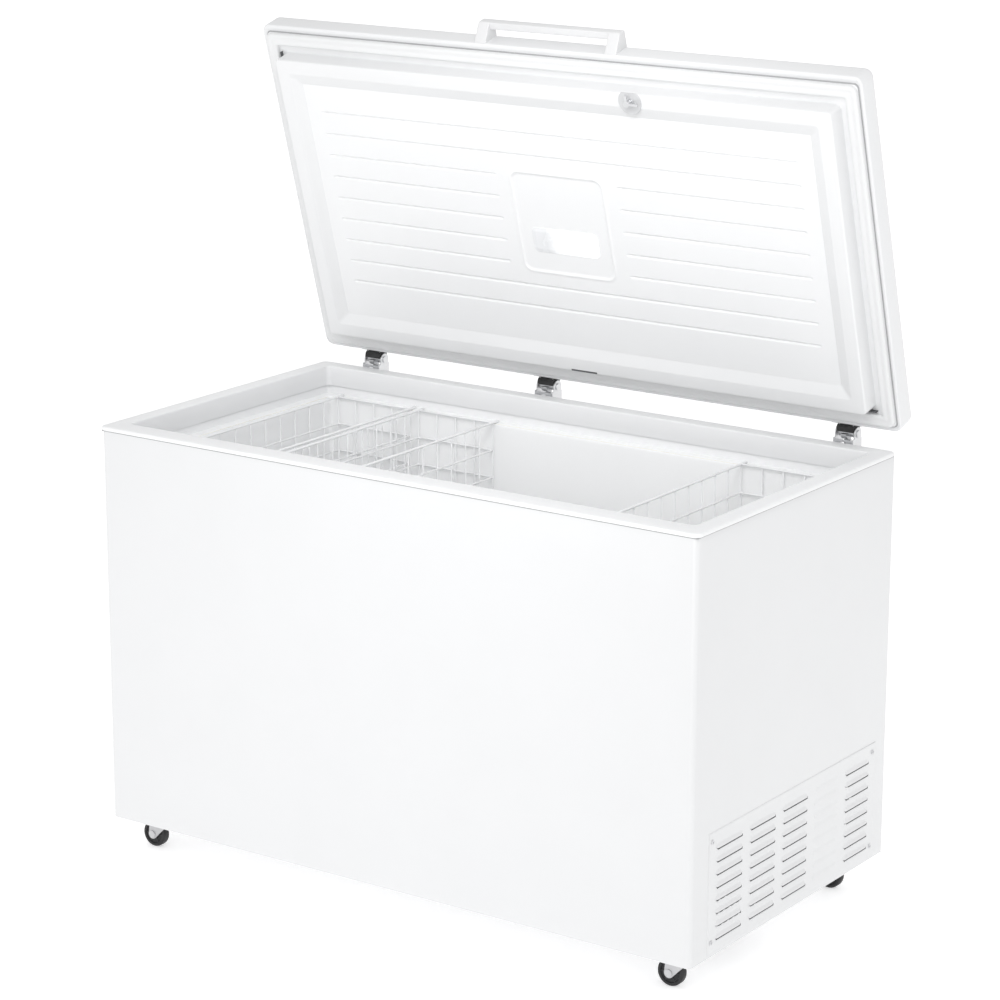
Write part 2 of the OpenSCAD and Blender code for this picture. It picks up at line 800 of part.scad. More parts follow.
module castor_screws() {
    color(zinc) castor_screw_at() {
        translate([0, 0, foot_h - fork_t - 4]) cylinder(h = 4, r = 5, $fn = 6);
        translate([0, 0, foot_h - fork_t]) cylinder(h = 14, r = 3);
    }
}

// ---- baskets ----

// Flat grid of wires: a w by h rectangle with its openings about a pitch apart.
module grid(w, h, pitch_w, pitch_h) {
    across = round(w / pitch_w);
    up = round(h / pitch_h);
    step_w = (w - wire) / across;
    step_h = (h - wire) / up;
    difference() {
        square([w, h]);
        for (i = [0 : across - 1], j = [0 : up - 1]) {
            translate([wire + i * step_w, wire + j * step_h]) square([step_w - wire, step_h - wire]);
        }
    }
}

// Wire basket that hangs by its two ends on the liner's shelf.
module basket(x) {
    pitch = 47;
    end_gap = 18;
    y0 = basket_front + end_gap;
    y1 = basket_back - end_gap;
    z0 = basket_rim - basket_h;
    z1 = basket_rim;
    color(white) translate([x, 0, 0]) union() {
        translate([0, y0, z0]) linear_extrude(wire) grid(basket_w, y1 - y0, pitch, pitch);
        for (y = [y0 + wire, y1]) {
            translate([0, y, z0]) rotate([90, 0, 0]) linear_extrude(wire)
                grid(basket_w, z1 - z0, pitch, pitch);
        }
        for (s = [0, basket_w - wire]) {
            translate([s, y0, z0]) rotate([90, 0, 90]) linear_extrude(wire)
                grid(y1 - y0, z1 - z0, pitch, pitch);
        }
        for (s = [0, basket_w - wire]) block(s, s + wire, basket_front, basket_back, z1 - wire, z1);
    }
}

// ---- lid ----

module lid_tray() {
    lid_open() color(white) difference() {
        slab(-lid_x, lid_x, lid_front, lid_back, lid_z, lid_top, lid_r);
        slab(-lid_x + 1, lid_x - 1, lid_front + 1, lid_back - 1, lid_z + 1, lid_top - 1, lid_r - 1);
        slab(-lid_x + lip, lid_x - lip, lid_front + lip_front, lid_back - lip, lid_z - 1, lid_z + 2, lid_r);
        leaf_screw_shanks();
        handle_screw_shanks();
        lock_hole(lid_top - 5, lid_top + 5, lock_r);
    }
}

module lock_hole(z0, z1, r) {
    translate([lock_x, lock_y, z0]) cylinder(h = z1 - z0, r = r);
}

// Solid shape of the lining's back: what the foam wraps.
module lining_back(grow) {
    slab(-ring_x - grow, ring_x + grow, ring_front - grow, ring_back + grow,
        ring_z, lid_z + lining_t, ring_r);
}

module recess(grow, top) {
    slab(-recess_x - grow, recess_x + grow, recess_front - grow, recess_back + grow,
        ring_z - 1, top, recess_r);
}

// Groove rows: the middle five stop short of the lamp pad.
module groove_rows() {
    depth = 0.8;
    for (i = [0 : grooves - 1]) {
        y = groove_first + groove_pitch * i - 2;
        stops = i > 1 && i < grooves - 2;
        block(-groove_x, stops ? -groove_gap : groove_x, y, y + 4, recess_z - 1, recess_z + depth);
        if (stops) block(groove_gap, groove_x, y, y + 4, recess_z - 1, recess_z + depth);
    }
}

module lid_lining() {
    tray_x = lid_x - lip;
    pad = 1;
    lid_open() color(white) difference() {
        union() {
            difference() {
                union() {
                    slab(-tray_x, tray_x, lid_front + lip_front, lid_back - lip,
                        lid_z, lid_z + lining_t, lid_r);
                    lining_back(0);
                }
                difference() {
                    slab(-ring_x + lining_t, ring_x - lining_t, ring_front + lining_t, ring_back - lining_t,
                        ring_z + lining_t, lid_z + 5, ring_r - lining_t);
                    recess(lining_t, recess_z + lining_t);
                }
                recess(0, recess_z);
            }
            translate([0, 0, recess_z - pad]) linear_extrude(pad) difference() {
                rounded(-pad_w / 2, pad_w / 2, pad_y - pad_w / 2, pad_y + pad_w / 2, 18);
                rounded(-pad_w / 2 + 4, pad_w / 2 - 4, pad_y - pad_w / 2 + 4, pad_y + pad_w / 2 - 4, 14);
            }
        }
        groove_rows();
        slab(-lens_w / 2, lens_w / 2, lens_y - lens_d / 2, lens_y + lens_d / 2,
            recess_z - 5, recess_z + 5, 8);
        lock_hole(ring_z - 1, recess_z + 5, lock_r);
    }
}

module lid_foam() {
    lid_open() color(foam_yellow) difference() {
        union() {
            slab(-lid_x + 1, lid_x - 1, lid_front + 1, lid_back - 1,
                lid_z + lining_t, lid_top - 1, lid_r - 1);
            slab(-ring_x + lining_t, ring_x - lining_t, ring_front + lining_t, ring_back - lining_t,
                ring_z + lining_t, lid_z + lining_t + 1, ring_r - lining_t);
        }
        recess(lining_t, recess_z + lining_t);
        slab(-lens_w / 2, lens_w / 2, lens_y - lens_d / 2, lens_y + lens_d / 2, recess_z, recess_z + 16, 8);
        leaf_screw_shanks();
        handle_screw_bodies();
        lock_hole(ring_z, lid_top, lock_r);
    }
}

// Hollow strip seal with a slot for its magnets.
module lid_gasket() {
    seat = 1;
    lid_open() color(white) difference() {
        frame(lid_x - lip - seat, lid_front + lip_front + seat, lid_back - lip - seat, lid_r,
            ring_x + 12, ring_front - 10, ring_back + 12, ring_r + 4, rim_z + 0.3, lid_z);
        magnet_strips(2.5, 0.5);
    }
}

// Four bars down the middle of the seal.
module magnet_strips(h, grow) {
    w = 8 + grow;
    x = half_w - 18;
    y0 = front_y + 20;
    y1 = back_y - 16;
    z = lid_z - h;
    for (y = [y0, y1]) block(-x + 30, x - 30, y - w / 2, y + w / 2, z, lid_z);
    for (s = [-x, x]) block(s - w / 2, s + w / 2, y0 + 30, y1 - 30, z, lid_z);
}

module gasket_magnets() {
    lid_open() color(black) magnet_strips(2.5, 0);
}

module lamp_lens() {
    lid_open() color("#ffffff") union() {
        slab(-lens_w / 2, lens_w / 2, lens_y - lens_d / 2, lens_y + lens_d / 2, recess_z, recess_z + 2, 8);
        slab(-lens_w / 2 + 6, lens_w / 2 - 6, lens_y - lens_d / 2 + 6, lens_y + lens_d / 2 - 6,
            recess_z - 1.5, recess_z, 5);
    }
}

module lamp_board() {
    leds = 4;
    lid_open() color("#e8e8e0") union() {
        block(-60, 60, lens_y - 14, lens_y + 14, recess_z + 8, recess_z + 9.6);
        for (i = [0 : leds - 1]) {
            block(-43 + 24 * i, -37 + 24 * i, lens_y - 3, lens_y + 3, recess_z + 6, recess_z + 8);
        }
    }
}

// Bar handle across the lid's front edge on two gusset legs.
module lid_handle() {
    half = 150;
    leg = 24;
    out = 31;
    bar_z = lid_z + 24;
    top = lid_z + 41;
    side = [[0, lid_z + 2], [-8, lid_z + 8], [-out, bar_z], [-out, top], [0, top]];
    lid_open() color(white) translate([0, lid_front, 0]) difference() {
        union() {
            for (x = [-half, half - leg])
                translate([x, 0, 0]) rotate([90, 0, 90]) linear_extrude(leg) polygon(side);
            block(-half, half, -out, -out + 14, bar_z, top);
        }
        translate([0, -lid_front, 0]) handle_screw_shanks();
    }
}

module handle_screw_places() {
    for (x = [-138, 138], z = [lid_z + 16, lid_z + 33]) translate([x, lid_front, z]) children();
}

module handle_screw_shanks() {
    handle_screw_places() translate([0, -9, 0]) along_y(11, 2);
}

module handle_screw_bodies() {
    handle_screw_places() translate([0, 1, 0]) along_y(3, 4);
}

module handle_screws() {
    lid_open() color(zinc) union() {
        handle_screw_shanks();
        handle_screw_bodies();
    }
}

// ---- lock ----

module lock_housing() {
    barrel_r = 9 + running_gap;
    lid_open() color(white) difference() {
        union() {
            lock_hole(ring_z - 2, lid_top + 1, lock_r);
            difference() {
                lock_hole(ring_z - 2, ring_z, 23);
                block(lock_x - 30, lock_x + 30, lock_y - 30, ring_front - 2, ring_z - 5, ring_z + 5);
            }
            lock_hole(lid_top, lid_top + 1.5, 18);
        }
        lock_hole(ring_z - 3, lid_top + 3, barrel_r);
    }
}

module lock_barrel() {
    lid_open() color(zinc) difference() {
        union() {
            lock_hole(ring_z - 3, lid_top + 1, 9);
            lock_hole(lock_cam_z, ring_z - 2, 5);
        }
        block(lock_x - 1, lock_x + 1, lock_y - 5, lock_y + 5, lid_top - 6, lid_top + 2);
    }
}

// Two-pronged cam on the barrel's inner end.
module lock_cam() {
    long = 22;
    short = 17;
    half = 2.5;
    lid_open() color(zinc) translate([lock_x, lock_y, lock_cam_z - 3]) union() {
        cylinder(h = 3, r = 6);
        block(0, long, -half, half, 0, 3);
        block(-half, half, -short, 0, 0, 3);
    }
}

outer_shell();
back_panel();
base_pan();
bay_divider();
body_foam();
inner_liner();
inner_rim();
top_collar();
side_grille();
grille_screws();
compressor();
compressor_feet();
compressor_bolts();
terminal_cover();
filter_drier();
refrigerant_pipes();
condenser_coil();
evaporator_coil();
thermostat_body();
thermostat_knob();
cord_gland();
drain_pipe();
drain_plug();
hinge_bracket(hinge_x[0]);  // hinge_bracket_left
hinge_bracket(hinge_x[1]);  // hinge_bracket_middle
hinge_bracket(hinge_x[2]);  // hinge_bracket_right
hinge_pins();
hinge_plungers();
hinge_springs();
bracket_screws();
castor_fork(-castor_x, castor_front);  // castor_fork_front_left
castor_fork(castor_x, castor_front);  // castor_fork_front_right
castor_fork(-castor_x, castor_back);  // castor_fork_back_left
castor_fork(castor_x, castor_back);  // castor_fork_back_right
castor_wheel(-castor_x, castor_front);  // castor_wheel_front_left
castor_wheel(castor_x, castor_front);  // castor_wheel_front_right
castor_wheel(-castor_x, castor_back);  // castor_wheel_back_left
castor_wheel(castor_x, castor_back);  // castor_wheel_back_right
castor_plates();
castor_screws();
basket(basket_left_x[0]);  // basket_left
basket(basket_left_x[1]);  // basket_middle
basket(basket_left_x[2]);  // basket_right
lid_tray();
lid_foam();
lid_lining();
lid_gasket();
gasket_magnets();
lamp_lens();
lamp_board();
lid_handle();
handle_screws();
hinge_leaf(hinge_x[0]);  // hinge_leaf_left
hinge_leaf(hinge_x[1]);  // hinge_leaf_middle
hinge_leaf(hinge_x[2]);  // hinge_leaf_right
leaf_screws();
hinge_covers();
lock_housing();
lock_barrel();
lock_cam();
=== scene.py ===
"""Looks for the chest freezer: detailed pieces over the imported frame, in metres, in the frame's own axes.

Lid pieces are drawn in the lid's shut place and turned open about the hinge pins, as the frame's are.
"""
import json
import math

import bmesh
import bpy
import numpy as np
from mathutils import Matrix, Vector


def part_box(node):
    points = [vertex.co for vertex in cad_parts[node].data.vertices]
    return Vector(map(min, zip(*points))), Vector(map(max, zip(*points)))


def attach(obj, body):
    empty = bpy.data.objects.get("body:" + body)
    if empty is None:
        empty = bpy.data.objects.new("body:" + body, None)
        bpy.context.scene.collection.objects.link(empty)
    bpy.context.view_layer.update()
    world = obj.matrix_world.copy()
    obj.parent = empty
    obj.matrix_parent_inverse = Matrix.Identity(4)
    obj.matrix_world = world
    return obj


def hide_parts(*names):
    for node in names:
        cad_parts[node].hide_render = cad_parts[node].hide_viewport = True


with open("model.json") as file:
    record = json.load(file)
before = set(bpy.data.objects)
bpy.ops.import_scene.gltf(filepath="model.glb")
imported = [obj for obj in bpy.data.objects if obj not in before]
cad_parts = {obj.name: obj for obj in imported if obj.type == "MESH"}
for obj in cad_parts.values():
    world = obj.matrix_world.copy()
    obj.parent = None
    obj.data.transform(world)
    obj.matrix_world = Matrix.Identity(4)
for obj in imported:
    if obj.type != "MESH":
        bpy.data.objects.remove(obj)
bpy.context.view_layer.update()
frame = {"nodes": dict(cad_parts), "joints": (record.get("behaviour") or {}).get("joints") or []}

MM = 0.001
nodes = frame["nodes"]
joints = {j["name"]: j for j in frame["joints"]}

# ---------------------------------------------------------------- the frame's own measures

PIN = Vector(joints["lid_hinge"]["pos_m"])
OPEN = math.radians(-joints["lid_hinge"]["range_deg"][0])
TURN = Matrix.Translation(PIN) @ Matrix.Rotation(-OPEN, 4, "X") @ Matrix.Translation(-PIN)


def box(name):
    lo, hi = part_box(name)
    return Vector(lo), Vector(hi)


def shut_box(name):
    """Corners of a lid node's box in the lid's shut place."""
    back = np.array(TURN.inverted())
    co = np.array([v.co[:] + (1.0,) for v in nodes[name].data.vertices]) @ back.T
    return Vector(co[:, :3].min(0)), Vector(co[:, :3].max(0))


SHELL0, SHELL1 = box("outer_shell")
COLLAR0, COLLAR1 = box("top_collar")
LINER0, LINER1 = box("inner_liner")
GRILLE0, GRILLE1 = box("side_grille")
TRAY0, TRAY1 = shut_box("lid_tray")
LINING0, LINING1 = shut_box("lid_lining")
GASKET0, GASKET1 = shut_box("lid_gasket")
HANDLE0, HANDLE1 = shut_box("lid_handle")
LENS0, LENS1 = shut_box("lamp_lens")
HALF = SHELL1.x
FRONT, TOP, BASE = SHELL0.y, SHELL1.z, SHELL0.z
BACK = box("back_panel")[1].y


# ---------------------------------------------------------------- materials

def node(tree, kind, at, **values):
    n = tree.nodes.new(kind)
    n.location = at
    for key, value in values.items():
        if hasattr(n, key) and not isinstance(n.inputs.get(key), bpy.types.NodeSocket):
            setattr(n, key, value)
        else:
            n.inputs[key.replace("_", " ")].default_value = value
    return n


def noise(tree, vector, scale, detail, at):
    n = node(tree, "ShaderNodeTexNoise", at, Scale=scale, Detail=detail)
    tree.links.new(vector, n.inputs["Vector"])
    return n.outputs["Fac"]


def ramp(tree, fac, low, high, at, start=0.3, end=0.7):
    n = node(tree, "ShaderNodeMapRange", at)
    n.inputs["From Min"].default_value = start
    n.inputs["From Max"].default_value = end
    n.inputs["To Min"].default_value = low
    n.inputs["To Max"].default_value = high
    tree.links.new(fac, n.inputs["Value"])
    return n.outputs["Result"]


def material(name, colour, rough=0.35, metal=0.0, grain=900.0, bump=0.03, spread=0.06, tint=0.02,
             coat=0.0, wear=0.0, wear_colour=(0.5, 0.5, 0.5), edge=0.0, streak=None):
    """Principled material with colour and roughness drift, a fine grain in the bump, and worn edges."""
    m = bpy.data.materials.new(name)
    m.use_nodes = True
    tree = m.node_tree
    tree.nodes.clear()
    out = node(tree, "ShaderNodeOutputMaterial", (600, 0))
    shader = node(tree, "ShaderNodeBsdfPrincipled", (300, 0))
    shader.inputs["Metallic"].default_value = metal
    shader.inputs["Coat Weight"].default_value = coat
    shader.inputs["Coat Roughness"].default_value = 0.12
    tree.links.new(shader.outputs["BSDF"], out.inputs["Surface"])
    place = node(tree, "ShaderNodeTexCoord", (-1200, 0)).outputs["Object"]
    if streak:
        turn = node(tree, "ShaderNodeMapping", (-1000, 0))
        turn.inputs["Scale"].default_value = streak
        tree.links.new(place, turn.inputs["Vector"])
        place = turn.outputs["Vector"]
    drift = noise(tree, place, 9.0, 3.0, (-800, 300))
    fine = noise(tree, place, grain, 2.0, (-800, -300))
    mid = noise(tree, place, 60.0, 4.0, (-800, 0))

    mix = node(tree, "ShaderNodeMix", (-200, 300), data_type="RGBA")
    mix.inputs[6].default_value = (*[max(0.0, c * (1 - tint)) for c in colour], 1)
    mix.inputs[7].default_value = (*[min(1.0, c * (1 + tint)) for c in colour], 1)
    tree.links.new(ramp(tree, drift, 0.0, 1.0, (-500, 300)), mix.inputs[0])
    shade = mix.outputs[2]
    if wear:
        point = node(tree, "ShaderNodeNewGeometry", (-800, 600)).outputs["Pointiness"]
        worn = node(tree, "ShaderNodeMath", (-300, 600), operation="MULTIPLY")
        tree.links.new(ramp(tree, point, 0.0, wear, (-500, 600), 0.52, 0.6), worn.inputs[0])
        tree.links.new(ramp(tree, mid, 0.2, 1.0, (-500, 450)), worn.inputs[1])
        edge_mix = node(tree, "ShaderNodeMix", (0, 300), data_type="RGBA")
        edge_mix.inputs[7].default_value = (*wear_colour, 1)
        tree.links.new(worn.outputs[0], edge_mix.inputs[0])
        tree.links.new(shade, edge_mix.inputs[6])
        shade = edge_mix.outputs[2]
    tree.links.new(shade, shader.inputs["Base Color"])
    tree.links.new(ramp(tree, mid, rough - spread, rough + spread, (-500, 0)), shader.inputs["Roughness"])
    bumps = node(tree, "ShaderNodeBump", (0, -300), Strength=1.0, Distance=bump * MM)
    tree.links.new(fine, bumps.inputs["Height"])
    if edge:
        bevel = node(tree, "ShaderNodeBevel", (-300, -500), Radius=edge * MM)
        bevel.samples = 6
        tree.links.new(bevel.outputs["Normal"], bumps.inputs["Normal"])
    tree.links.new(bumps.outputs["Normal"], shader.inputs["Normal"])
    return m


ENAMEL = material("white_enamel", (0.755, 0.76, 0.768), 0.32, grain=260, bump=0.003, tint=0.006, spread=0.03,
                  coat=0.15)
MOULDED = material("white_moulding", (0.84, 0.845, 0.853), 0.42, grain=900, bump=0.006, tint=0.006)
# The lining is one formed sheet in two copies: the ring's darker and the floor's lighter, painted light and
# shade.
VACUUM = material("formed_lining", (0.785, 0.79, 0.797), 0.42, grain=500, bump=0.01, tint=0.006, coat=0.1)
LINING_FLOOR_LIT = material("lining_floor_painted_light", (0.83, 0.835, 0.842), 0.42, grain=500, bump=0.01, tint=0.006, coat=0.1)
# Painted shade: the handle's white moulding made greyer for the shade it sits in.
GRIP_SHADED = material("handle_moulding_shaded", (0.69, 0.693, 0.70), 0.42, grain=900, bump=0.006, tint=0.006)
GREY = material("lock_moulding", (0.60, 0.605, 0.615), 0.45, grain=900, bump=0.006, tint=0.01)
# Painted shade: near black for the shade in the louvre slits and in the gaps at the lid seal's edge.
SLIT_SHADE = material("louvre_slit_shade", (0.10, 0.102, 0.106), 0.7, grain=1500, bump=0.03, tint=0.05)
TUB = material("tub_sheet", (0.94, 0.945, 0.95), 0.45, grain=400, bump=0.012, tint=0.01)
SEAL = material("seal_vinyl", (0.75, 0.755, 0.76), 0.6, grain=900, bump=0.01, tint=0.01)
# Painted shade: grey for the shadow in the lid's seam and under the collar's bead.
SEAM_SHADE = material("seam_shadow", (0.36, 0.363, 0.37), 0.7, grain=1500, bump=0.03, tint=0.05)
ZINC = material("zinc_plate", (0.66, 0.665, 0.68), 0.4, metal=0.85, grain=900, bump=0.02, tint=0.06,
                wear=0.5, wear_colour=(0.8, 0.8, 0.8), edge=0.5, streak=(1, 1, 6))
FORK = material("fork_plate", (0.55, 0.55, 0.56), 0.5, metal=0.5, grain=900, bump=0.02, tint=0.08,
                wear=0.5, wear_colour=(0.8, 0.8, 0.8), edge=0.6)
DARK_ZINC = material("dark_zinc", (0.20, 0.205, 0.215), 0.36, metal=1.0, grain=900, bump=0.03, tint=0.12,
                     wear=0.6, wear_colour=(0.5, 0.5, 0.5), edge=0.4)
TYRE = material("wheel_nylon", (0.008, 0.008, 0.009), 0.5, grain=1400, bump=0.03, tint=0.3,
                wear=0.5, wear_colour=(0.07, 0.07, 0.075), edge=0.5)
RUBBER = material("black_rubber", (0.012, 0.012, 0.013), 0.7, grain=1600, bump=0.04, tint=0.3,
                  wear=0.4, wear_colour=(0.06, 0.06, 0.06), edge=0.4)
POT = material("black_enamel", (0.012, 0.012, 0.013), 0.28, grain=500, bump=0.03, tint=0.3, coat=0.4,
               wear=0.5, wear_colour=(0.08, 0.08, 0.08), edge=1.0)
DIPPED = material("dipped_wire", (0.87, 0.875, 0.885), 0.38, grain=900, bump=0.02, tint=0.015, coat=0.2)
COPPER = material("drawn_copper", (0.72, 0.36, 0.22), 0.3, metal=1.0, grain=800, bump=0.04, tint=0.15,
                  wear=0.4, wear_colour=(0.85, 0.5, 0.35))
FOAM = material("rigid_foam", (0.78, 0.70, 0.42), 0.85, grain=500, bump=0.4, tint=0.08)
BOARD = material("lacquered_board", (0.80, 0.81, 0.78), 0.4, grain=900, bump=0.02, tint=0.03, edge=0.3)
MAGNET = material("magnet_strip", (0.05, 0.05, 0.05), 0.7, grain=1500, bump=0.04, tint=0.2)


def lamp_cover():
    """Frosted cover, lit from the boards behind its right-hand part."""
    m = material("frosted_cover", (0.80, 0.81, 0.825), 0.25, grain=1800, bump=0.05, tint=0.01, coat=0.3)
    tree = m.node_tree
    shader = next(n for n in tree.nodes if n.type == "BSDF_PRINCIPLED")
    place = node(tree, "ShaderNodeTexCoord", (-1200, -700)).outputs["Object"]
    split = node(tree, "ShaderNodeSeparateXYZ", (-1000, -700))
    tree.links.new(place, split.inputs[0])
    glow = ramp(tree, split.outputs["X"], 0.0, 0.3, (-700, -700), -0.040, -0.005)
    shader.inputs["Emission Color"].default_value = (1.0, 1.0, 1.0, 1)
    tree.links.new(glow, shader.inputs["Emission Strength"])
    return m


LENS = lamp_cover()


def wear_on(name, mat):
    """Gives a carried-over node its procedural material."""
    data = nodes[name].data
    data.materials.clear()
    data.materials.append(mat)
    data.polygons.foreach_set("use_smooth", [True] * len(data.polygons))
    data.set_sharp_from_angle(angle=math.radians(30))


# ---------------------------------------------------------------- mesh building

def finish_mesh(name, bm, mat, body, place=None, smooth=35, more=()):
    """Makes an object of the mesh, gives it its materials and seats it on its body."""
    bmesh.ops.remove_doubles(bm, verts=bm.verts, dist=1e-6)
    bmesh.ops.recalc_face_normals(bm, faces=bm.faces)
    data = bpy.data.meshes.new(name)
    bm.to_mesh(data)
    bm.free()
    if place:
        data.transform(place)
    for each in (mat, *more):
        data.materials.append(each)
    data.polygons.foreach_set("use_smooth", [True] * len(data.polygons))
    data.set_sharp_from_angle(angle=math.radians(smooth))
    obj = bpy.data.objects.new(name, data)
    bpy.context.scene.collection.objects.link(obj)
    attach(obj, body)
    return obj


def ring(x0, x1, y0, y1, r, z, n=8):
    """Points round a rectangle with round corners, from the back right-hand corner."""
    r = max(r, 0.2 * MM)
    points = []
    corners = ((x1 - r, y1 - r, 0), (x0 + r, y1 - r, 90), (x0 + r, y0 + r, 180), (x1 - r, y0 + r, 270))
    for cx, cy, start in corners:
        for i in range(n + 1):
            a = math.radians(start + 90 * i / n)
            points.append(Vector((cx + r * math.cos(a), cy + r * math.sin(a), z)))
    return points


def loft(bm, rings, cap_start=False, cap_end=False, closed=False, slot=0):
    """Skin over rings that have the same number of points."""
    rows = [[bm.verts.new(p) for p in row] for row in rings]
    if closed:
        rows.append(rows[0])
    count = len(rows[0])
    for low, high in zip(rows, rows[1:]):
        for i in range(count):
            j = (i + 1) % count
            face = bm.faces.new((low[i], low[j], high[j], high[i]))
            face.material_index = slot
    if cap_start:
        bm.faces.new(rows[0][::-1]).material_index = slot
    if cap_end:
        bm.faces.new(rows[-1]).material_index = slot
    return rows


def arc(cx, cz, r, start, end, n=5):
    """Points of an arc as (offset, height) pairs."""
    return [(cx + r * math.cos(math.radians(start + (end - start) * i / n)),
             cz + r * math.sin(math.radians(start + (end - start) * i / n))) for i in range(n + 1)]


def offset_rings(x0, x1, y0, y1, r, profile, least=2 * MM):
    """Rings of a rectangle grown by each profile point's offset, at its height."""
    return [ring(x0 - d, x1 + d, y0 - d, y1 + d, max(r + d, least), z) for d, z in profile]


def tube(bm, path, r, sides=10, closed=False, slot=0):
    """Round wire along a path of points."""
    path = [Vector(p) for p in path]
    count = len(path)
    rows = []
    side = None
    for i, p in enumerate(path):
        before = path[(i - 1) % count] if closed or i else p
        after = path[(i + 1) % count] if closed or i < count - 1 else p
        way = (after - before).normalized()
        if side is None:
            side = way.orthogonal().normalized()
        side = (side - way * side.dot(way)).normalized()
        other = way.cross(side)
        rows.append([bm.verts.new(p + (side * math.cos(t) + other * math.sin(t)) * r)
                     for t in (2 * math.pi * k / sides for k in range(sides))])
    if not closed:
        tips = (rows[0], path[0], path[0] - path[1]), (rows[-1], path[-1], path[-1] - path[-2])
        for row, p, way in tips:
            cap = [bm.verts.new(p + (v.co - p) * 0.6 + way.normalized() * r * 0.45) for v in row]
            for k in range(sides):
                j = (k + 1) % sides
                bm.faces.new((row[k], row[j], cap[j], cap[k])).material_index = slot
            bm.faces.new(cap).material_index = slot
    pairs = list(zip(rows, rows[1:])) + ([(rows[-1], rows[0])] if closed else [])
    for low, high in pairs:
        for k in range(sides):
            j = (k + 1) % sides
            bm.faces.new((low[k], low[j], high[j], high[k])).material_index = slot


def rounded_path(corners, r, n=5, closed=False):
    """Path through corners, each turned on a radius."""
    corners = [Vector(c) for c in corners]
    count = len(corners)
    path = []
    for i, c in enumerate(corners):
        if not closed and i in (0, count - 1):
            path.append(c)
            continue
        a = (corners[i - 1] - c).normalized()
        b = (corners[(i + 1) % count] - c).normalized()
        start, end = c + a * r, c + b * r
        for k in range(n + 1):
            t = k / n
            path.append(start * (1 - t) ** 2 + c * 2 * t * (1 - t) + end * t ** 2)
    return path


def soft_box(bm, x0, x1, y0, y1, z0, z1, r, slot=0, n=3):
    """Block with every edge rounded."""
    r = min(r, (x1 - x0) / 2.02, (y1 - y0) / 2.02, (z1 - z0) / 2.02)
    low = arc(-r, z0 + r, r, -90, 0, n)
    high = arc(-r, z1 - r, r, 0, 90, n)
    rows = [ring(x0 - d, x1 + d, y0 - d, y1 + d, max(r + d, 0.05 * MM), z, n) for d, z in low + high]
    loft(bm, rows, True, True, slot=slot)


# ---------------------------------------------------------------- lid

def border(bm_rows, side, front, z, r):
    """Ring inside the tray's outline by one distance at the front and another elsewhere."""
    bm_rows.append(ring(TRAY0.x + side, TRAY1.x - side, TRAY0.y + front, TRAY1.y - side, r, z))


def lid_tray():
    """Painted tray: lip that slopes in to the seam, round lower edge, broad round top edge."""
    x0, x1, y0, y1 = TRAY0.x, TRAY1.x, TRAY0.y, TRAY1.y
    low, high = TRAY0.z, TRAY1.z
    r = 16 * MM
    turn, shoulder = 3 * MM, 13 * MM
    rows = []
    lip = ((8.4, 13.2, 5.0), (8.2, 13.0, 2.8), (7.8, 12.6, 2.3), (4.9, 7.0, 0.3), (4.2, 6.0, 0.0))
    for side, front, up in lip:
        border(rows, side * MM, front * MM, low + up * MM, 8 * MM)
    profile = arc(-turn, low + turn, turn, -90, 0) + arc(-shoulder, high - shoulder, shoulder, 0, 90, 8)
    rows += offset_rings(x0, x1, y0, y1, r, profile)
    bm = bmesh.new()
    loft(bm, rows, True, True)
    tray = finish_mesh("lid_tray_formed", bm, ENAMEL, "lid", TURN, 40)
    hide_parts("lid_tray")


def lid_seam_shade():
    """Painted shade: a grey band for the shadow down in the seam between the tray's lip and the lining, and
    dark strips for the shadowed gaps at the seal's inner edge and under the ring.
    """
    bm = bmesh.new()
    z = TRAY0.z
    rows = []
    # Grey band down in the seam: painted shadow.
    for side, front, up in ((8.0, 12.8, 2.6), (10.0, 15.0, 1.2), (10.0, 15.0, 3.4), (8.0, 12.8, 3.4)):
        border(rows, side * MM, front * MM, z + up * MM, 8 * MM)
    loft(bm, rows, closed=True)
    # Dark strips where the seal's edge and the ring leave gaps: painted shadow.
    gaps = ((-27, 29, 252.6, 256.2, 783.8, 785.0), (566, 592, 263.4, 265.2, 812.0, 819.0),
            (-595.4, -593.8, -316, -302, 812.0, 819.0))
    for x0, x1, y0, y1, z0, z1 in gaps:
        soft_box(bm, x0 * MM, x1 * MM, y0 * MM, y1 * MM, z0 * MM, z1 * MM, 0.4 * MM, slot=1)
    seam = finish_mesh("lid_lining_seam_shade", bm, SEAM_SHADE, "lid", TURN, 35, (SLIT_SHADE,))


RING_X = HALF - 40 * MM
RING_FRONT = FRONT + 47 * MM
RING_BACK = BACK - 40 * MM
RING_R = 8 * MM
RING_FLAT = 25 * MM
SLOPE = 25 * MM
FLOOR_Z = LINING0.z + 9 * MM


def smooth_step(t):
    t = np.clip(t, 0.0, 1.0)
    return t * t * (3 - 2 * t)


def lines(spans):
    """Grid lines from (start, end, step) spans."""
    out = []
    for start, end, step in spans:
        count = max(1, int(round((end - start) / step)))
        out += [start + (end - start) * i / count for i in range(count)]
    out.append(spans[-1][1])
    return np.array(out)


def floor_height(x, y, grooves):
    """Depth of the lining's floor pattern in mm, towards the foam, over millimetre places."""
    depth = np.zeros_like(x)
    half_length, middle = 510.0, 128.5
    for y0, stops in grooves:
        across = np.clip(1 - np.abs(y - y0) / 3.4, 0, 1)
        along = smooth_step((half_length - np.abs(x)) / 7.0)
        if stops:
            along = along * smooth_step((np.abs(x) - middle) / 7.0)
        depth = np.maximum(depth, 3.0 * smooth_step(across) * along)
    px, py = np.abs(x), np.abs(y - (FRONT / MM + 324))
    half, r = 102.5, 22.0
    qx, qy = np.maximum(px - half + r, 0), np.maximum(py - half + r, 0)
    edge = np.hypot(qx, qy) + np.minimum(np.maximum(px - half + r, py - half + r), 0) - r
    rim = np.exp(-((edge + 3.5) / 2.6) ** 2)
    inside = smooth_step((-edge - 4) / 6.0)
    return depth - 1.5 * rim + 0.9 * inside


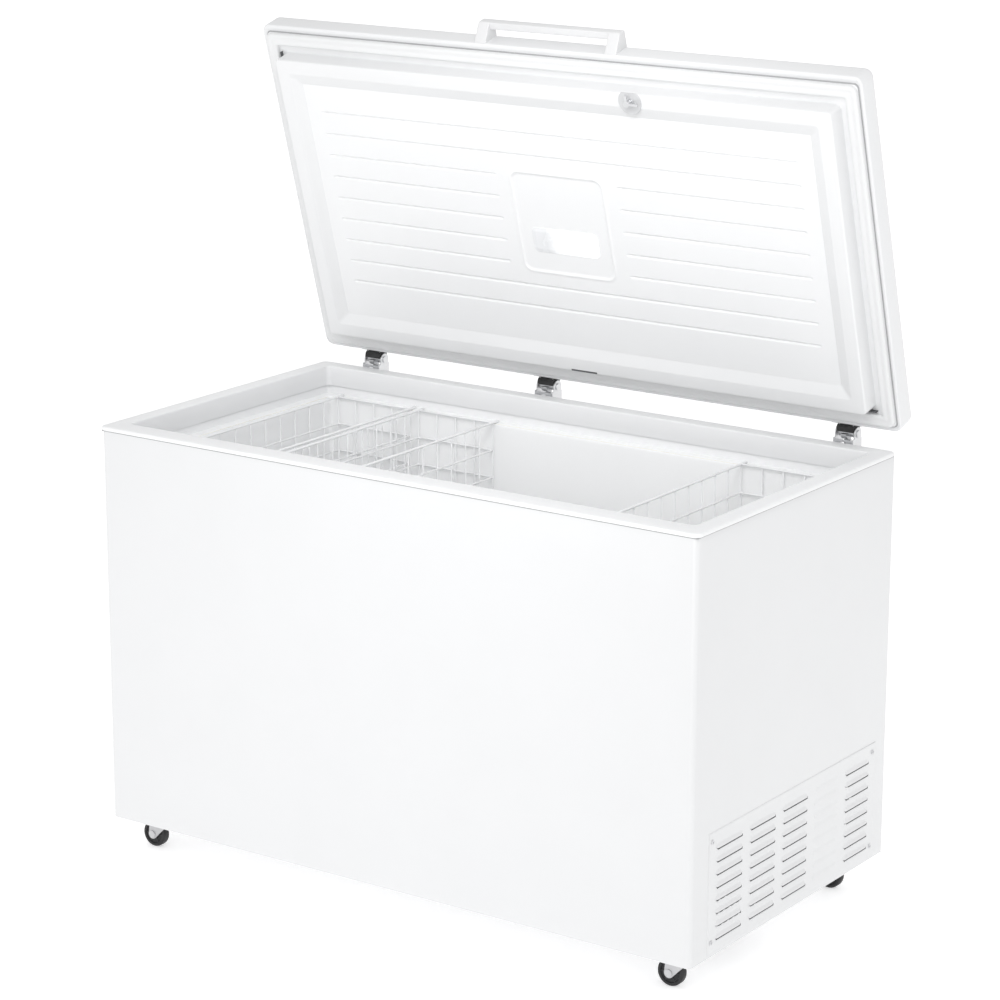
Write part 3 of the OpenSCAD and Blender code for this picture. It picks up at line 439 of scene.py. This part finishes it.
def lid_lining():
    """Vacuum-formed lining: flange, plug ring with soft slopes, grooved floor and lamp pad."""
    z_flange, z_low = LINING1.z - 1.5 * MM, LINING0.z
    rows = []
    for side, front, up in ((9.8, 14.8, 2.6), (9.9, 14.9, 0.5), (10.4, 15.4, 0.0), (14.0, 19.0, 0.0)):
        border(rows, side * MM, front * MM, z_flange + up * MM, 8 * MM)
    fillet, brow = 2.5 * MM, 3.2 * MM
    wall = []
    for a in (0, 30, 60, 90):
        s, c = math.sin(math.radians(a)), math.cos(math.radians(a))
        wall.append((fillet - fillet * s, z_flange - fillet + fillet * c))
    draft = 1.0 * MM
    profile = [(d + draft, z) for d, z in wall]
    profile += [(0.3 * MM, z_low + brow + 8 * MM)]
    profile += [(-brow + brow * math.cos(math.radians(a)), z_low + brow - brow * math.sin(math.radians(a)))
                for a in (0, 18, 36, 54, 72, 90)]
    rows += offset_rings(-RING_X, RING_X, RING_FRONT, RING_BACK, RING_R, profile)
    inner = -RING_FLAT
    deep = FLOOR_Z + 0.5 * MM - z_low
    slope = ((0.0, 0.0), (0.05, 0.012), (0.10, 0.06), (0.5, 0.5), (0.88, 0.93), (0.94, 0.985), (1.0, 1.0))
    for t, h in slope:
        d = inner - SLOPE * t
        r = (7 - 3 * t) * MM
        rows.append(ring(-RING_X - d, RING_X + d, RING_FRONT - d, RING_BACK + d, r, z_low + deep * h))
    bm = bmesh.new()
    loft(bm, rows)
    grooves = []
    first, pitch = (FRONT + 149.6 * MM) / MM, 43.4
    for i in range(9):
        grooves.append((first + pitch * i, 1 < i < 7))
    x_end = (RING_X - RING_FLAT - SLOPE) / MM + 2
    y_lo = (RING_FRONT + RING_FLAT + SLOPE) / MM - 2
    y_hi = (RING_BACK - RING_FLAT - SLOPE) / MM + 2
    half = lines([(0, 80, 8), (80, 106, 1.6), (106, 126, 5), (126, 138, 1.5), (138, 500, 30), (500, 512, 1.5),
                  (512, x_end, 6)])
    xs = np.concatenate([-half[:0:-1], half])
    pad_y = FRONT / MM + 324
    marks = sorted({round(v, 3) for y0, _ in grooves for v in np.arange(y0 - 4, y0 + 4.01, 0.8)}
                   | {round(v, 3) for s in (-1, 1) for v in np.arange(76.0, 106.0, 1.6) * s + pad_y}
                   | {round(v, 3) for v in np.arange(y_lo, y_hi, 12.0)} | {round(y_hi, 3)})
    ys = [marks[0]]
    for v in marks[1:]:
        if v - ys[-1] > 0.35:
            ys.append(v)
    ys = np.array(ys)
    gx, gy = np.meshgrid(xs, ys)
    gz = floor_height(gx, gy, grooves)
    verts = [[bm.verts.new((gx[j, i] * MM, gy[j, i] * MM, FLOOR_Z + gz[j, i] * MM)) for i in range(len(xs))]
             for j in range(len(ys))]
    # The floor's faces take slot 1, the lining's lighter copy: painted light.
    for j in range(len(ys) - 1):
        for i in range(len(xs) - 1):
            face = bm.faces.new((verts[j][i], verts[j][i + 1], verts[j + 1][i + 1], verts[j + 1][i]))
            face.material_index = 1
    lining = finish_mesh("lid_lining_formed", bm, VACUUM, "lid", TURN, 50, (LINING_FLOOR_LIT,))
    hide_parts("lid_lining", "lid_foam")


def lid_gasket():
    """Hollow vinyl seal with two beads and a dart."""
    x0, x1, y0, y1 = GASKET0.x, GASKET1.x, GASKET0.y, GASKET1.y
    low, high = GASKET0.z, GASKET1.z
    width = 23 * MM
    h = high - low
    steps = [(0.0, h), (0.0, h * 0.45), (-1.2 * MM, h * 0.16), (-3.2 * MM, 0.02 * h), (-7 * MM, 0.0),
             (-9.5 * MM, 0.9 * MM), (-11.5 * MM, 1.2 * MM), (-13.5 * MM, 0.9 * MM), (-16 * MM, 0.0),
             (-19.8 * MM, 0.02 * h), (-21.8 * MM, h * 0.16), (-width, h * 0.45), (-width, h)]
    profile = [(d, low + z) for d, z in steps]
    bm = bmesh.new()
    loft(bm, offset_rings(x0, x1, y0, y1, 14 * MM, profile, 4 * MM), closed=True)
    seal = finish_mesh("lid_seal", bm, SEAL, "lid", TURN, 60)
    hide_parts("lid_gasket")


def lid_handle():
    """Bar handle: a square bar between two deep gusset legs."""
    x1 = HANDLE1.x
    y0, y1 = HANDLE0.y, HANDLE1.y
    top = HANDLE1.z
    bar_low = top - 17 * MM
    bm = bmesh.new()
    soft_box(bm, -x1 + 0.6 * MM, x1 - 0.6 * MM, y0, y0 + 14 * MM, bar_low, top, 2.2 * MM, n=4)
    for side in (-1, 1):
        xa, xb = sorted((side * x1, side * (x1 - 24 * MM)))
        stations = [(y1, HANDLE0.z), (y1 - 8 * MM, HANDLE0.z + 6 * MM), (y1 - 20 * MM, HANDLE0.z + 14.5 * MM),
                    (y0 + 1.2 * MM, bar_low)]
        rows = []
        for y, low in stations:
            r = 1.6 * MM
            section = []
            for cx, cz, start in ((xb - r, top - r, 0), (xa + r, top - r, 90), (xa + r, low + r, 180),
                                  (xb - r, low + r, 270)):
                for i in range(4):
                    a = math.radians(start + 30 * i)
                    section.append(Vector((cx + r * math.cos(a), y, cz + r * math.sin(a))))
            rows.append(section)
        loft(bm, rows, True, True)
    handle = finish_mesh("lid_handle_bar", bm, GRIP_SHADED, "lid", TURN, 50)
    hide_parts("lid_handle")


def lamp_lens():
    """Frosted cover with a stepped edge."""
    x0, x1, y0, y1 = LENS0.x, LENS1.x, LENS0.y, LENS1.y
    low, high = LENS0.z, LENS1.z
    profile = [(0.0, high), (0.0, high - 1.8 * MM), (-0.8 * MM, high - 2.6 * MM), (-3 * MM, low + 0.9 * MM),
               (-5 * MM, low + 0.2 * MM), (-9 * MM, low)]
    bm = bmesh.new()
    loft(bm, offset_rings(x0, x1, y0, y1, 10 * MM, profile, 3 * MM), True, True)
    lens = finish_mesh("lamp_cover", bm, LENS, "lid", TURN, 40)
    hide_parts("lamp_lens")


# ---------------------------------------------------------------- cabinet

def top_collar():
    """Moulded collar with a rolled outer bead and a skirt into the opening."""
    x, y0, y1 = COLLAR1.x, COLLAR0.y, COLLAR1.y
    low, high = TOP, COLLAR1.z
    open_x, open_y0, open_y1 = HALF - 31 * MM, FRONT + 42 * MM, BACK - 31 * MM
    bead = 3.2 * MM
    outer = [(-8 * MM, low + 0.3 * MM), (-1.2 * MM, low + 0.2 * MM), (0.0, low + 1.2 * MM)]
    outer += arc(-bead, high - bead, bead, 0, 90, 6)
    rows = offset_rings(-x, x, y0, y1, 13 * MM, outer)
    lip = 3 * MM
    inner = [(lip - lip * math.sin(math.radians(a)), high - lip + lip * math.cos(math.radians(a)))
             for a in (0, 18, 36, 54, 72, 90)]
    skirt = COLLAR0.z
    inner += [(0.0, skirt + 1 * MM), (0.6 * MM, skirt), (2.4 * MM, skirt), (3 * MM, skirt + 1 * MM),
              (3 * MM, low - 2 * MM)]
    rows += offset_rings(-open_x, open_x, open_y0, open_y1, 10 * MM, inner)
    bm = bmesh.new()
    loft(bm, rows)
    collar = finish_mesh("top_collar_moulded", bm, MOULDED, "cabinet", None, 40)
    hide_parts("top_collar")


def collar_shadow():
    """Painted shadow: a grey band under the collar's bead, on the sheet below it."""
    bm = bmesh.new()
    z0, z1 = TOP - 1.4 * MM, TOP + 0.2 * MM
    profile = [(-2 * MM, z0), (0.3 * MM, z0), (0.3 * MM, z1), (-2 * MM, z1)]
    loft(bm, offset_rings(-HALF, HALF, FRONT, BACK, 3 * MM, profile), closed=True)
    seam = finish_mesh("collar_bead_shadow", bm, SEAM_SHADE, "cabinet")


def inner_liner():
    """Tub with a shelf for the baskets, soft corners and a step over the compressor."""
    slot_x, slot_y0, slot_y1 = HALF - 27 * MM, FRONT + 38 * MM, BACK - 27 * MM
    x, y0, y1 = HALF - 48 * MM, FRONT + 56 * MM, BACK - 48 * MM
    shelf = LINER1.z
    floor = LINER0.z + 1 * MM
    step_z = BASE + 269 * MM
    step_x = HALF - 287 * MM
    r = 7 * MM
    rows = [ring(-slot_x, slot_x, slot_y0, slot_y1, 5 * MM, shelf)]
    brow = ((3 * MM, shelf), (1.2 * MM, shelf - 0.8 * MM), (0.2 * MM, shelf - 3 * MM), (0, shelf - 8 * MM))
    rows += [ring(-x - d, x + d, y0 - d, y1 + d, r, z) for d, z in brow]
    bend = 16 * MM
    rows.append(ring(-x, x, y0, y1, r, step_z + bend))
    for a in (20, 45, 70, 90):
        s, c = math.sin(math.radians(a)), math.cos(math.radians(a))
        rows.append(ring(-x, x - bend + bend * c, y0, y1, r, step_z + bend - bend * s))
    for a in (90, 65, 40, 15, 0):
        s, c = math.sin(math.radians(a)), math.cos(math.radians(a))
        rows.append(ring(-x, step_x + bend - bend * c, y0, y1, r, step_z - bend + bend * s))
    rows.append(ring(-x, step_x, y0, y1, r, floor + r))
    for a in (20, 45, 70, 90):
        s, c = math.sin(math.radians(a)), math.cos(math.radians(a))
        d = r - r * c
        rows.append(ring(-x + d, step_x - d, y0 + d, y1 - d, max(r - d, 3 * MM), floor + r - r * s))
    bm = bmesh.new()
    loft(bm, rows, cap_end=True)
    liner = finish_mesh("liner_tub", bm, TUB, "cabinet", None, 40)
    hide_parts("inner_liner")


def outer_shell():
    """Painted wrap: front and both sides in one sheet, round in front, turned in at top and bottom."""
    x, front, back = HALF, FRONT, SHELL1.y
    r = 10 * MM
    bm = bmesh.new()
    n = 10

    def outline(d, z):
        pts = [Vector((-x + d, back, z)), Vector((-x + d, (front + back) / 2, z))]
        for cx, start in ((-x + r, 180), (x - r, 270)):
            for i in range(n + 1):
                a = math.radians(start + 90 * i / n)
                pts.append(Vector((cx + (r - d) * math.cos(a), front + r + (r - d) * math.sin(a), z)))
        pts += [Vector((x - d, (front + back) / 2, z)), Vector((x - d, back, z))]
        return pts

    fold = 2.2 * MM
    lip = 9.4 * MM
    profile = [(lip, BASE), (fold, BASE), (0.65 * MM, BASE + 0.65 * MM), (0.0, BASE + fold)]
    profile += [(0.0, GRILLE0.z + 12 * MM), (0.0, GRILLE1.z - 12 * MM), (0.0, TOP - fold)]
    profile += [(0.65 * MM, TOP - 0.65 * MM), (fold, TOP), (lip, TOP)]
    rows = [[bm.verts.new(p) for p in outline(d, z)] for d, z in profile]
    window = (GRILLE0.y + 16 * MM, GRILLE1.y - 16 * MM)
    for j, (low, high) in enumerate(zip(rows, rows[1:])):
        for i in range(len(low) - 1):
            a, b = low[i].co, low[i + 1].co
            if j == 4 and a.x > x - MM and b.x > x - MM:
                y0, y1 = min(a.y, b.y), max(a.y, b.y)
                cut = [bm.verts.new((x, max(y0, min(y1, w)), z)) for w in window for z in (a.z, high[i].co.z)]
                if cut[0].co.y > y0:
                    bm.faces.new((low[i], cut[0], cut[1], high[i]))
                if cut[2].co.y < y1:
                    bm.faces.new((cut[2], low[i + 1], high[i + 1], cut[3]))
                continue
            bm.faces.new((low[i], low[i + 1], high[i + 1], high[i]))
    shell = finish_mesh("cabinet_wrap", bm, ENAMEL, "cabinet", None, 40)
    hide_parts("outer_shell")


LOUVRE_L = 84 * MM
LOUVRE_Y = [FRONT + (118 + 109 * i) * MM for i in range(5)]
LOUVRE_Z = [BASE + (31 + 22.9 * j) * MM for j in range(8)]


def side_grille():
    """Moulded plate with a rolled border and pressed, hooded louvres; the fourth column is blind."""
    x = HALF
    y0, y1, z0, z1 = GRILLE0.y, GRILLE1.y, GRILLE0.z, GRILLE1.z
    t = 1.6 * MM
    slit = 4.2 * MM
    bm = bmesh.new()
    ends = [(c - 0.92 * LOUVRE_L / 2, c + 1.0 * LOUVRE_L / 2) for c in LOUVRE_Y]
    ys = sorted([y0 + 3 * MM, y1 - 3 * MM] + [v for pair in ends for v in pair])
    zs = sorted([z0 + 3 * MM, z1 - 3 * MM] + [z - d for z in LOUVRE_Z for d in (0, slit)])
    face = [[bm.verts.new((x + t, y, z)) for z in zs] for y in ys]
    for i in range(len(ys) - 1):
        for j in range(len(zs) - 1):
            if i % 2 == 1 and j % 2 == 1 and i != 7:
                continue
            bm.faces.new((face[i][j], face[i + 1][j], face[i + 1][j + 1], face[i][j + 1]))
    edge = [(0.0, t), (1.6, t * 0.8), (2.6, t * 0.4), (3.0, 0.0)]
    rows = []
    for d, h in edge:
        g = d * MM
        ya, yb, za, zb = y0 + 3 * MM - g, y1 - 3 * MM + g, z0 + 3 * MM - g, z1 - 3 * MM + g
        rows.append([Vector((x + h, y, z)) for y, z in ((ya, za), (yb, za), (yb, zb), (ya, zb))])
    loft(bm, rows)
    # Hooded columns give slot 1, the dark slit colour, to the faces round each lip: painted shade; the blind
    # column gets none.
    for i, cy in enumerate(LOUVRE_Y):
        for cz in LOUVRE_Z:
            hood(bm, x + t, cy, cz, *((1.2 * MM, 0) if i == 3 else (2.6 * MM, 1)))
    grille = finish_mesh("grille_louvred", bm, ENAMEL, "cabinet", None, 45, (SLIT_SHADE,))
    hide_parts("side_grille")


def hood(bm, x, cy, cz, depth, slot):
    """One louvre: the sheet above a slit pushed out, closed in front and short of the slit's rear end; with
    slot 1 the faces round its lip take the dark slit colour, painted shade.
    """
    tall = 8.5 * MM
    rows = []
    for y in [-1.0, -0.99, -0.97, -0.94, -0.90, 0.80, 0.84, 0.88, 0.91, 0.93]:
        rise = max(0.0, (-0.90 - y) / 0.10, (y - 0.80) / 0.13)
        swell = math.sqrt(max(0.0, 1 - rise ** 2))
        at = cy + y * LOUVRE_L / 2
        row = []
        for t in (0.0, 0.12, 0.3, 0.5, 0.7, 0.88, 1.0):
            out = depth * swell * float(smooth_step(t))
            row.append(Vector((x + out, at, cz + tall * (1 - t) * (0.4 + 0.6 * swell))))
        row.append(Vector((x + depth * swell, at, cz - 1.5 * MM * swell)))
        row.append(Vector((x + max(depth * swell - 0.9 * MM, 0), at, cz - 1.7 * MM * swell)))
        row.append(Vector((x - 1.2 * MM, at, cz + 2.5 * MM)))
        rows.append([bm.verts.new(p) for p in row])
    for low, high in zip(rows, rows[1:]):
        for k in range(len(low) - 1):
            face = bm.faces.new((low[k], low[k + 1], high[k + 1], high[k]))
            face.material_index = slot if k > 5 else 0


def wire_basket(name):
    """Round wires: rim wires, two sets of U-bends and hoops."""
    lo, hi = box(name)
    w = 2.1 * MM
    end = 18 * MM
    x0, x1 = lo.x + w, hi.x - w
    y0, y1 = lo.y + end + w, hi.y - end - w
    z0, z1 = lo.z + w, hi.z - w
    bm = bmesh.new()
    for x in (x0, x1):
        tube(bm, [(x, y, z1) for y in (lo.y + w, y0, (y0 + y1) / 2, y1, hi.y - w)], 2.4 * MM)
    across = 4
    for i in range(1, across):
        x = x0 + (x1 - x0) * i / across
        tube(bm, rounded_path([(x, y0, z1), (x, y0, z0), (x, y1, z0), (x, y1, z1)], 14 * MM), 1.5 * MM, 8)
    along = 12
    for i in range(along + 1):
        y = y0 + (y1 - y0) * i / along
        low = z0 + 3 * MM
        tube(bm, rounded_path([(x0, y, z1), (x0, y, low), (x1, y, low), (x1, y, z1)], 14 * MM), 1.5 * MM, 8)
    for y in (y0, y1):
        tube(bm, [(x0, y, z1), (x1, y, z1)], 2.2 * MM, 8)
    levels = 4
    for i in range(1, levels):
        z = z0 + (z1 - z0) * i / levels
        hoop = [(x0, y0, z), (x1, y0, z), (x1, y1, z), (x0, y1, z)]
        tube(bm, rounded_path(hoop, 8 * MM, 4, True), 1.7 * MM, 8, closed=True)
    basket = finish_mesh(name + "_wires", bm, DIPPED, name, None, 60)
    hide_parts(name)


def castor_wheel(name, body):
    """Nylon wheel: crowned tread, dished sides with ribs, and a hub."""
    lo, hi = box(name)
    c = (lo + hi) / 2
    half = (hi.y - lo.y) / 2 - 1 * MM
    R = (hi.z - lo.z) / 2
    profile = [(4.1, half + 1 * MM), (8.4, half + 1 * MM), (9.2, half + 0.3 * MM), (9.6, half - 2.2 * MM),
               (17.6, half - 2.2 * MM), (18.4, half - 1.4 * MM), (19.0, half - 0.2 * MM), (20.0, half),
               (22.6, half), (24.0, half - 0.6 * MM), (24.7, half - 1.8 * MM), (25.0, half - 3.4 * MM),
               (25.0, 0.0)]
    side = [(r * MM * R / (25 * MM), y) for r, y in profile]
    whole = side + [(r, -y) for r, y in side[-2::-1]]
    bm = bmesh.new()
    steps = 64
    rows = []
    for k in range(steps):
        a = 2 * math.pi * k / steps
        rows.append([Vector((c.x + r * math.cos(a), c.y + y, c.z + r * math.sin(a))) for r, y in whole])
    verts = [[bm.verts.new(p) for p in row] for row in rows]
    for k in range(steps):
        low, high = verts[k], verts[(k + 1) % steps]
        for i in range(len(whole) - 1):
            bm.faces.new((low[i], low[i + 1], high[i + 1], high[i]))
    z0, z1 = half - 2.6 * MM, half - 0.9 * MM
    for k in range(6):
        turn = Matrix.Translation(c) @ Matrix.Rotation(math.pi * k / 3, 4, "Y")
        for s in (-1, 1):
            spoke = bmesh.new()
            soft_box(spoke, 9.0 * MM, 18.4 * MM, -1.2 * MM, 1.2 * MM, z0, z1, 0.5 * MM)
            spin = turn @ Matrix.Rotation(-math.pi / 2 * s, 4, "X")
            spoke.transform(spin)
            piece = bpy.data.meshes.new("spoke")
            spoke.to_mesh(piece)
            spoke.free()
            bm.from_mesh(piece)
            bpy.data.meshes.remove(piece)
    wheel = finish_mesh(name + "_moulded", bm, TYRE, body, None, 40)
    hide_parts(name)


# ---------------------------------------------------------------- putting it together

lid_tray()
lid_seam_shade()
lid_lining()
lid_gasket()
lid_handle()
lamp_lens()
top_collar()
collar_shadow()
inner_liner()
outer_shell()
side_grille()
for each in ("basket_left", "basket_middle", "basket_right"):
    wire_basket(each)
for corner in ("front_left", "front_right", "back_left", "back_right"):
    castor_wheel("castor_wheel_" + corner, "wheel_" + corner)

CARRIED = {
    ENAMEL: ["back_panel"],
    ZINC: ["base_pan", "bay_divider", "grille_screws", "compressor_bolts", "hinge_bracket_left",
           "hinge_bracket_middle", "hinge_bracket_right", "hinge_pins", "hinge_plungers", "hinge_springs",
           "bracket_screws", "castor_plates", "castor_screws", "handle_screws", "hinge_leaf_left",
           "hinge_leaf_middle", "hinge_leaf_right", "leaf_screws", "lock_barrel", "lock_cam"],
    FORK: ["castor_fork_front_left", "castor_fork_front_right", "castor_fork_back_left",
           "castor_fork_back_right"],
    POT: ["compressor"],
    RUBBER: ["compressor_feet", "cord_gland", "drain_plug", "terminal_cover", "thermostat_knob",
             "hinge_covers"],
    COPPER: ["filter_drier", "refrigerant_pipes"],
    DARK_ZINC: ["condenser_coil", "evaporator_coil"],
    FOAM: ["body_foam"],
    MOULDED: ["thermostat_body", "drain_pipe", "inner_rim"],
    GREY: ["lock_housing"],
    BOARD: ["lamp_board"],
    MAGNET: ["gasket_magnets"],
}
for mat, names in CARRIED.items():
    for each in names:
        wear_on(each, mat)

# ---------------------------------------------------------------- studio

def studio():
    ground = bmesh.new()
    span = 18.0
    tiles = 6
    marks = np.linspace(-span, span, tiles + 1)
    rows = [[ground.verts.new((x, y, 0.0)) for x in marks] for y in marks]
    for a, b in zip(rows, rows[1:]):
        for i in range(tiles):
            ground.faces.new((a[i], a[i + 1], b[i + 1], b[i]))
    data = bpy.data.meshes.new("studio_floor")
    ground.to_mesh(data)
    ground.free()
    data.polygons.foreach_set("use_smooth", [True] * len(data.polygons))
    floor = bpy.data.objects.new("studio_floor", data)
    bpy.context.scene.collection.objects.link(floor)
    paper = material("studio_paper", (0.80, 0.80, 0.80), 0.8, grain=300, bump=0.02, tint=0.004)
    shader = next(n for n in paper.node_tree.nodes if n.type == "BSDF_PRINCIPLED")
    shader.inputs["Emission Color"].default_value = (1, 1, 1, 1)
    shader.inputs["Emission Strength"].default_value = 0.5
    data.materials.append(paper)

    def area(name, at, target, size, power, spread=180):
        light = bpy.data.lights.new(name, "AREA")
        light.shape = "RECTANGLE"
        light.spread = math.radians(spread)
        light.size, light.size_y = size
        light.energy = power
        lamp = bpy.data.objects.new(name, light)
        lamp.location = at
        lamp.rotation_euler = (Vector(target) - Vector(at)).to_track_quat("-Z", "Y").to_euler()
        bpy.context.scene.collection.objects.link(lamp)

    area("key", (1.4, -6.0, 1.7), (0.3, -0.2, 0.7), (3.5, 3.0), 42)
    area("overhead", (0.4, -5.0, 3.4), (0, 0.1, 1.0), (4.0, 3.0), 26)
    area("side_fill", (4.4, 1.4, 2.0), (0.6, 0.2, 0.5), (3.0, 3.0), 12)
    area("tub_fill", (0.9, -1.3, 2.3), (-0.1, 0.25, 0.9), (0.8, 0.8), 1.8, 55)
    world = bpy.data.worlds.new("studio_air")
    world.use_nodes = True
    tree = world.node_tree
    air = tree.nodes["Background"]
    air.inputs["Color"].default_value = (1, 1, 1, 1)
    air.inputs["Strength"].default_value = 0.80
    bpy.context.scene.world = world


def camera():
    eye = bpy.data.cameras.new("photo_view")
    eye.sensor_width = 36.0
    eye.lens = 118.12
    eye.clip_end = 60
    cam = bpy.data.objects.new("photo_view", eye)
    right = Vector((0.8212, 0.5706, 0.0023))
    ahead = Vector((-0.5507, 0.7936, -0.2587)).normalized()
    right = (right - ahead * right.dot(ahead)).normalized()
    up = right.cross(ahead)
    cam.matrix_world = Matrix.Translation((3.2285, -4.659, 2.210)) @ Matrix(
        (right, up, -ahead)).transposed().to_4x4()
    bpy.context.scene.collection.objects.link(cam)
    bpy.context.scene.camera = cam


studio()
camera()
scene = bpy.context.scene
scene.view_settings.view_transform = "Standard"
